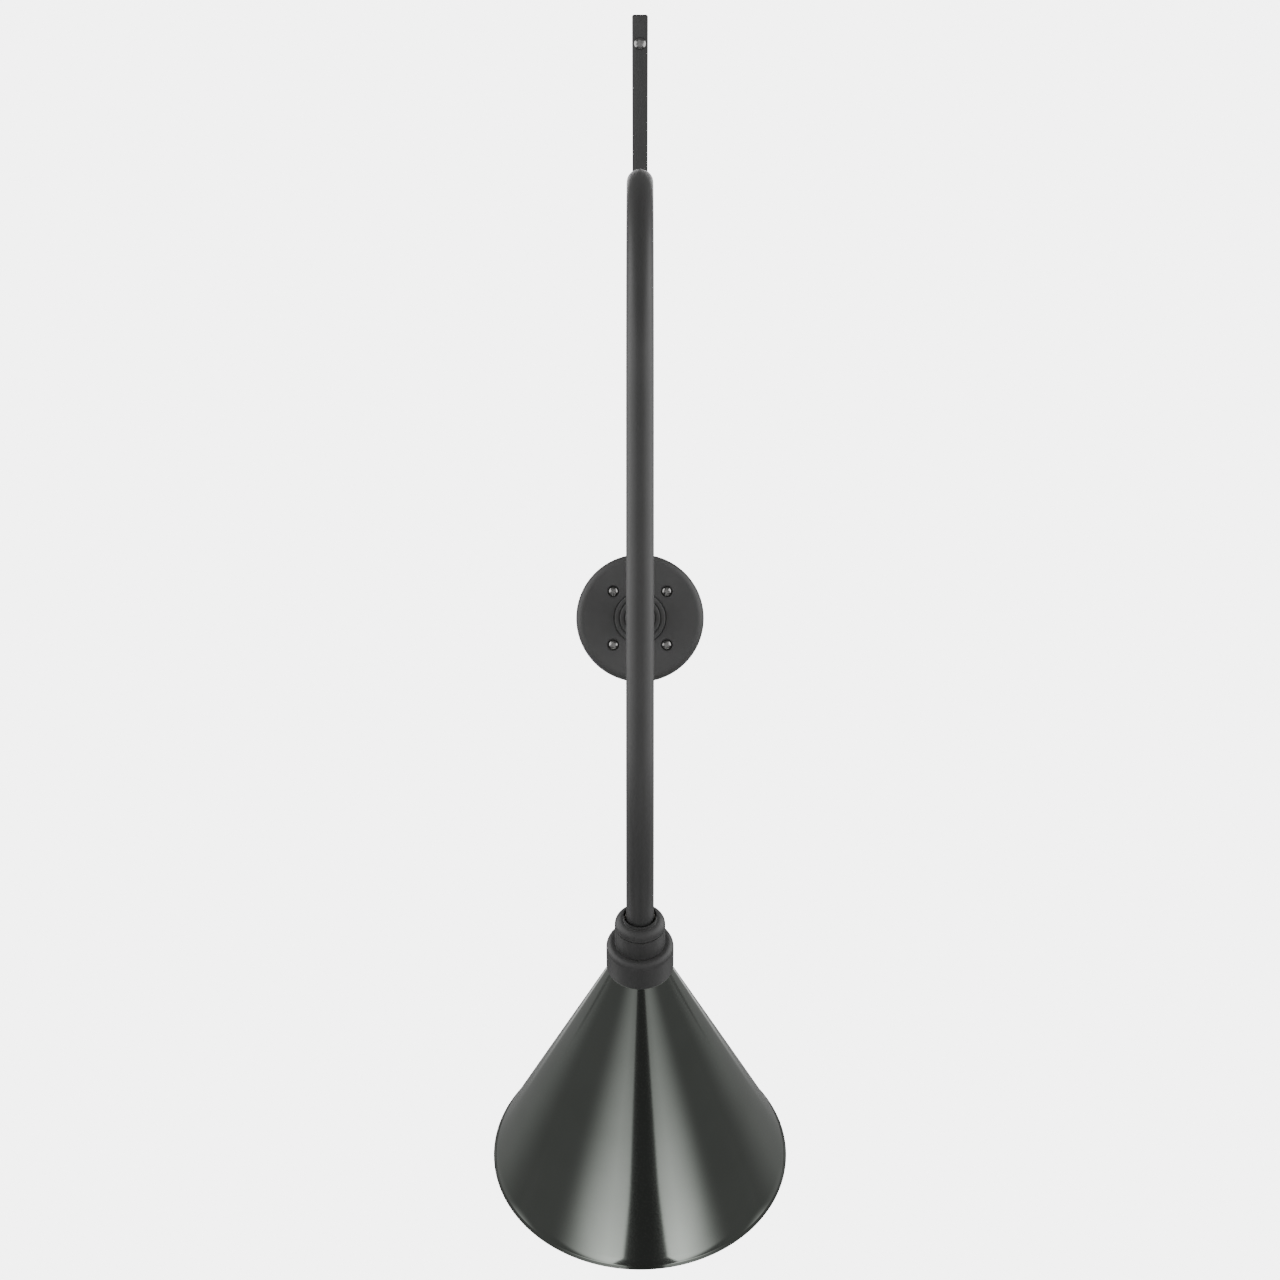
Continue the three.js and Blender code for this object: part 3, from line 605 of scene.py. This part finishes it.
def ribs(count, start, pitch, crest_r, root_r, root_at, end_at=None):
    """Profile points of equal ribs or thread turns, one after the other along the axis."""
    points = []
    for k in range(count):
        at = start + k * pitch
        points += [(crest_r, at), (root_r, at + root_at)]
        if end_at:
            points.append((crest_r, at + end_at))
    return points


def lampholder():
    """Cap and ribbed body of moulded black plastic, threaded ring for the shade, rolled brass shell."""
    holder_r, sleeve_r, socket_r = 20.5 * MM, 17.5 * MM, 14.1 * MM
    seam, cap_top, cap_floor = 52 * MM, 40.3 * MM, 43 * MM
    cap_in = holder_r - 2 * MM
    turned("holder_cap_moulding", rounded([
        (NIPPLE_HOLE_R, cap_top, 0.2 * MM), (holder_r, cap_top, 4 * MM), (holder_r, seam, 0.3 * MM),
        (cap_in, seam, 0.3 * MM), (cap_in, cap_floor, 1.5 * MM), (NIPPLE_HOLE_R, cap_floor, 0.2 * MM),
    ]), HEAD, "head", ["holder_cap"], "phenolic", 96)

    body_top, shoulder, floor_at, end = seam + 0.3 * MM, 57.6 * MM, 60 * MM, 92 * MM
    sleeve = ribs(9, 66 * MM, 2.8 * MM, sleeve_r, 17.1 * MM, 0.9 * MM, 1.8 * MM)
    turned("holder_body_moulding", rounded([
        (0, body_top, 0), (holder_r, body_top, 0.3 * MM), (holder_r, shoulder, 0.4 * MM),
        (sleeve_r, shoulder, 0), *((radius, at, 0) for radius, at in sleeve), (sleeve_r, end, 0.8 * MM),
        (socket_r, end, 0.6 * MM), (socket_r, floor_at, 0), (0, floor_at, 0),
    ]), HEAD, "head", ["holder_body"], "phenolic", 96)

    bore, flange_r, grip_r = 17.8 * MM, 20.3 * MM, 19.4 * MM
    turned("shade_ring_turned", rounded([
        (bore, 59.4 * MM, 0.2 * MM), (flange_r, 59.4 * MM, 0.3 * MM), (flange_r, 61 * MM, 0.3 * MM),
        (grip_r, 62 * MM, 0.4 * MM), (grip_r, 65 * MM, 0.4 * MM), (bore, 65 * MM, 0.2 * MM),
    ]), HEAD, "head", ["shade_ring"], "steel", 96)

    sheet, hole = 0.35 * MM, 6 * MM
    threads = ribs(7, 64 * MM, THREAD_PITCH, 13.75 * MM, 13.45 * MM, 1.5 * MM)
    start, lip = [(hole, 60.3 * MM), (13.6 * MM, 60.3 * MM)], [(13.75 * MM, 86 * MM), (13.35 * MM, 86 * MM)]
    inner = [(radius - sheet, at) for radius, at in reversed(threads)]
    end = [(13.2 * MM, 60.8 * MM), (hole, 60.8 * MM)]
    profile = start + threads + lip + inner + end
    turned("holder_shell_rolled", profile, HEAD, "head", ["holder_shell"], "brass", 96)


def bulb():
    """A globe bulb: a thin glass envelope, and its threaded metal cap."""
    centre, glass_r, wall = 138 * MM, 30 * MM, 1 * MM
    waist = ((0.74, 117.5 * MM), (0.62, 110 * MM), (0.53, 102 * MM), (0.46, 94 * MM), (0.44, 88.3 * MM))

    def envelope(radius):
        return arc(0, centre, radius, 90, -30, 40) + [Vector((radius * part, at)) for part, at in waist]

    outer, inner = envelope(glass_r), list(reversed(envelope(glass_r - wall)))
    outer[0] = Vector((0, centre + glass_r))
    inner[-1] = Vector((0, centre + glass_r - wall))
    turned("bulb_envelope", outer + inner, HEAD, "head", ["bulb_glass"], "opal_glass", 96, 60)

    profile = [(0, 62.5 * MM), (4.5 * MM, 62.6 * MM), (6 * MM, 64.5 * MM), (12.2 * MM, 66.6 * MM)]
    profile += ribs(6, 69 * MM, THREAD_PITCH, 12.8 * MM, 12.45 * MM, 1.5 * MM)
    profile += [(12.8 * MM, 87.6 * MM), (12.4 * MM, 88 * MM), (0, 88 * MM)]
    turned("bulb_cap_pressed", profile, HEAD, "head", ["bulb_cap"], "steel", 96)


def cad_finishes():
    """Every CAD piece that still shows takes its slot's full material."""
    slots = {entry["node"]: entry["material_slot"] for entry in frame["record"]["subparts"]}
    for name, node in frame["nodes"].items():
        if node.hide_render:
            continue
        node.data.materials.clear()
        node.data.materials.append(FINISHES[slots[name]])
        node.data.shade_smooth()
        node.data.set_sharp_from_angle(angle=math.radians(30))


# ---------- room ----------
# How strongly the studio glows: everywhere, above, at the sides behind, on the wall behind, low behind,
# round the camera, on the side panels, on the low panel, in that panel's gap, and the page the camera sees.
ROOM_GLOW, ABOVE_GLOW, EDGE_GLOW, WALL_GLOW, BELOW_GLOW = 0.115, 0.08, 0.1, 7.0, 0.6
FRONT_GLOW, SIDE_GLOW, LOW_GLOW, GAP_GLOW, PAGE_GLOW = 0.45, 2.3, 0.45, 0.045, 5.5
FLOOR_HALF, FLOOR_Z = 3.0, -1.5
CAMERA_PLACE = (0, -4.71, -0.0217)
WHITE = (1, 1, 1, 1)


def camera():
    data = bpy.data.cameras.new("camera")
    data.sensor_width = 36
    data.lens = 133.06
    data.clip_end = 50
    view = placed("camera", data)
    view.location = CAMERA_PLACE
    view.rotation_euler = (math.pi / 2, 0, 0)
    bpy.context.scene.camera = view


def sheet_mesh(name, wide, tall, height=0.0):
    """One flat face about the middle, given its half sizes."""
    mesh = bpy.data.meshes.new(name)
    corners = [(-wide, -tall, height), (wide, -tall, height), (wide, tall, height), (-wide, tall, height)]
    mesh.from_pydata(corners, [], [(0, 1, 2, 3)])
    return mesh


def floor():
    mesh = sheet_mesh("floor", FLOOR_HALF, FLOOR_HALF, FLOOR_Z)
    material, n = new_material("floor")
    shader = n.add("ShaderNodeBsdfPrincipled", {
        "Base Color": (0.8, 0.8, 0.8, 1), "Roughness": 0.8, "Emission Color": WHITE, "Emission Strength": 0.8,
    })
    n.add("ShaderNodeOutputMaterial", {"Surface": shader})
    mesh.materials.append(material)
    ground = placed("floor", mesh)
    ground.visible_glossy = False
    ground.visible_diffuse = False


def product(n, *values):
    result = values[0]
    for value in values[1:]:
        result = n.math("MULTIPLY", result, value)
    return result


def studio_world():
    """Dim soft light from everywhere, brighter parts above, behind and low behind, and a pale page behind."""
    world = bpy.data.worlds.new("studio")
    world.use_nodes = True
    bpy.context.scene.world = world
    n = Nodes(world.node_tree)
    direction = n.add("ShaderNodeTexCoord").outputs["Generated"]
    x, y, z = n.add("ShaderNodeSeparateXYZ", {"Vector": direction}).outputs
    aside = n.ramp(n.math("ABSOLUTE", x), 0.03, 0.1)
    parts = (
        (n.ramp(z, 0.45, 0.85), ABOVE_GLOW),
        (n.ramp(y, 0.25, 0.75), EDGE_GLOW),
        (product(n, n.ramp(y, 0.92, 0.98), n.ramp(z, 0.03, 0.12)), WALL_GLOW),
        (product(n, n.ramp(y, 0.15, 0.5), n.ramp(z, -0.2, -0.45), aside), BELOW_GLOW),
        (n.ramp(y, -0.72, -0.95), FRONT_GLOW),
    )
    level = ROOM_GLOW
    for part, glow in parts:
        level = n.math("MULTIPLY_ADD", part, glow, level)
    light = n.add("ShaderNodeBackground", {"Color": WHITE, "Strength": level})
    page = n.add("ShaderNodeBackground", {"Color": WHITE, "Strength": PAGE_GLOW})
    seen = n.add("ShaderNodeLightPath").outputs["Is Camera Ray"]
    mix = n.add("ShaderNodeMixShader", {0: seen, 1: light, 2: page})
    n.add("ShaderNodeOutputWorld", {"Surface": mix})


def glow_panel(name, wide, tall, place, pattern):
    """A glowing sheet, unseen by the camera. The pattern gives its strength from its own x and y."""
    mesh = sheet_mesh(name, wide, tall)
    material, n = new_material(name)
    where = n.add("ShaderNodeTexCoord").outputs["Object"]
    x, y, _ = n.add("ShaderNodeSeparateXYZ", {"Vector": where}).outputs
    shine = n.add("ShaderNodeEmission", {"Color": WHITE, "Strength": pattern(n, x, y)})
    n.add("ShaderNodeOutputMaterial", {"Surface": shine})
    mesh.materials.append(material)
    panel = placed(name, mesh)
    panel.matrix_world = place
    panel.visible_camera = False


def low_glow(n, x, y):
    """Two bright halves either side of a dark gap that flares at its foot, brighter towards the wall."""
    gap_middle, gap_half, gap_growth, gap_flare = 0.047, 0.155, 0.05, 0.5
    flare_from, fade_from, rise_from, rise_rate = -0.08, 0.33, -0.18, 6.5
    across = n.math("ABSOLUTE", n.math("SUBTRACT", x, gap_middle))
    flare = n.math("MAXIMUM", n.math("SUBTRACT", flare_from, y), 0.0)
    gap = n.math("MULTIPLY_ADD", flare, gap_flare, n.math("MULTIPLY_ADD", y, gap_growth, gap_half))
    inner = n.ramp(n.math("SUBTRACT", across, gap), -0.006, 0.006)
    outward = n.math("MAXIMUM", n.math("SUBTRACT", across, fade_from), 0.0)
    fall = product(n, outward, n.math("MULTIPLY_ADD", outward, 4.0, 1.8))
    rise = n.math("POWER", math.exp(-rise_rate), n.math("MAXIMUM", y, rise_from))
    glow = product(n, inner, n.math("POWER", math.exp(-1), fall), rise, n.ramp(y, -0.45, -0.32))
    return n.math("MULTIPLY_ADD", glow, LOW_GLOW, n.ramp(across, 0.05, 0.3, GAP_GLOW, ROOM_GLOW))


def side_glow(n, x, y):
    """Stronger towards the wall, with a soft foot and soft ends that fade to the room's own level."""
    rise = n.ramp(x, -1.2, 1.2, 0.6, 1.1)
    glow = product(n, rise, n.ramp(y, -0.82, -0.6), n.ramp(x, -1.6, -0.9), n.ramp(x, 1.5, 1.15))
    return n.math("MULTIPLY_ADD", glow, SIDE_GLOW, ROOM_GLOW)


def panels():
    """One sheet faces the shade from 50 degrees below the front, and one stands at each side."""
    shade_middle, distance = Vector((0, -0.352, -0.474)), 0.7
    ray = math.radians(-50)
    under = shade_middle + Vector((0, -math.cos(ray), math.sin(ray))) * distance
    facing = Matrix.Rotation(math.radians(140), 4, "X")
    glow_panel("low_panel", 2.0, 0.5, Matrix.Translation(under) @ facing, low_glow)
    for name, side in (("left_panel", -1), ("right_panel", 1)):
        spot = Matrix.Translation((side * 1.1, -1.0, 0.5))
        turn = Matrix(((0, 0, -side, 0), (1, 0, 0, 0), (0, 1, 0, 0), (0, 0, 0, 1)))
        glow_panel(name, 1.6, 0.85, spot @ turn, side_glow)


def softbox(name, side, power):
    """A large soft light beside the camera that lights paint but leaves no reflection of its own."""
    data = bpy.data.lights.new(name, "AREA")
    data.shape = "RECTANGLE"
    data.size, data.size_y, data.energy = 1.6, 2.0, power
    place, aim = Vector((side * 2.2, -1.6, -0.4)), Vector((0, -0.3, -0.2))
    box = placed(name, data)
    box.location = place
    box.rotation_euler = (aim - place).to_track_quat("-Z", "Y").to_euler()
    box.visible_camera = False
    box.visible_glossy = False


def lights():
    studio_world()
    panels()
    softbox("left_box", -1, 66)
    softbox("right_box", 1, 88)


camera()
wall_plate()
screws()
rail()
stem_elbow()
arm()
swivel_cap()
socket_neck()
shade_cup()
shade()
lampholder()
bulb()
cad_finishes()
floor()
lights()
